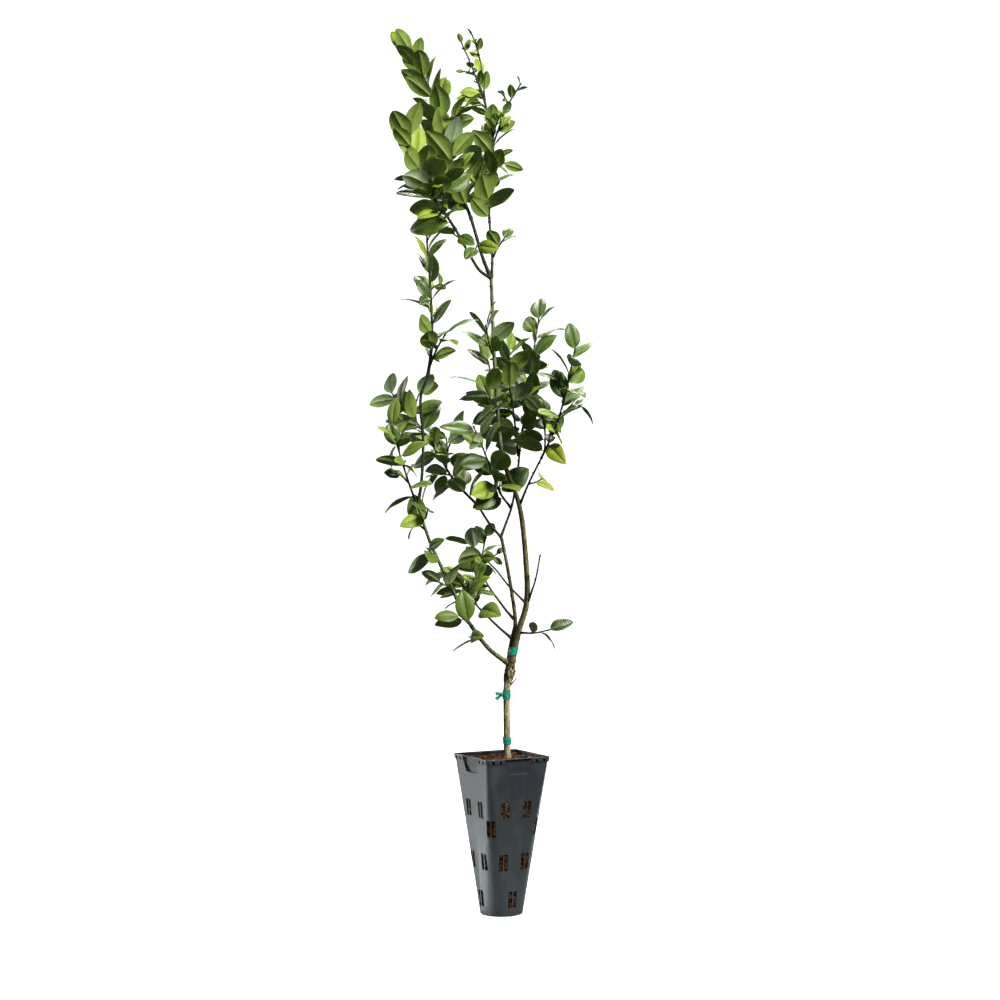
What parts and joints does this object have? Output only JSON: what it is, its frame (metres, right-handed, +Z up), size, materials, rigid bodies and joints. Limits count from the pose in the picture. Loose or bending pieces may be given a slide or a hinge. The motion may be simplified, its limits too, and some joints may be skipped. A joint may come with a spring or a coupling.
{
  "type": "potted meyer lemon tree",
  "caption": "Young grafted lemon tree, tall and slender, with loose leafy shoots above a bare trunk, in a deep tapering plastic tree pot with slotted sides, filled with bark mix.",
  "frame": {"origin": "the middle of the pot's flat underside, which the potted tree stands on", "axes": "+Z up along the tree, -Y towards the side it is usually seen from, +X to that viewer's right"},
  "size_m": [0.4918, 0.3807, 1.973],
  "materials": {
    "pot_plastic": "satin",
    "bark_mix": "matte",
    "bark": "matte",
    "tape": "satin",
    "foliage": "satin"
  },
  "bodies": {
    "root": {"pot": "pot_plastic", "potting_mix": "bark_mix", "trunk": "bark", "leader": "bark", "inner_stem": "bark", "low_left_bough": "bark", "left_leader_bough": "bark", "diagonal_bough": "bark", "centre_bough": "bark", "right_bough": "bark", "upper_middle_bough": "bark", "upper_left_bough": "bark", "upper_right_bough": "bark", "bare_twig": "bark", "tape_lower": "tape", "tape_middle": "tape", "tape_upper": "tape", "upper_middle_foliage": "foliage", "upper_left_foliage": "foliage", "upper_right_foliage": "foliage", "left_leader_foliage": "foliage", "left_cluster_foliage": "foliage", "outer_left_foliage": "foliage", "centre_right_foliage": "foliage", "centre_left_foliage": "foliage", "front_left_foliage": "foliage", "right_foliage": "foliage", "leader_sprig_lower": "foliage", "leader_sprig_upper": "foliage", "leader_sprig_back": "foliage", "crossing_twig_foliage": "foliage", "back_twig_foliage": "foliage", "low_twig_foliage": "foliage", "low_right_foliage": "foliage", "low_left_sprig": "foliage", "middle_left_sprig": "foliage", "high_left_sprig": "foliage", "fork_sprig": "foliage", "lower_bend_sprig": "foliage", "upper_bend_sprig": "foliage", "right_sprig": "foliage", "upper_left_sprig": "foliage", "upper_middle_sprig": "foliage", "upper_right_sprig": "foliage"}
  },
  "joints": []
}
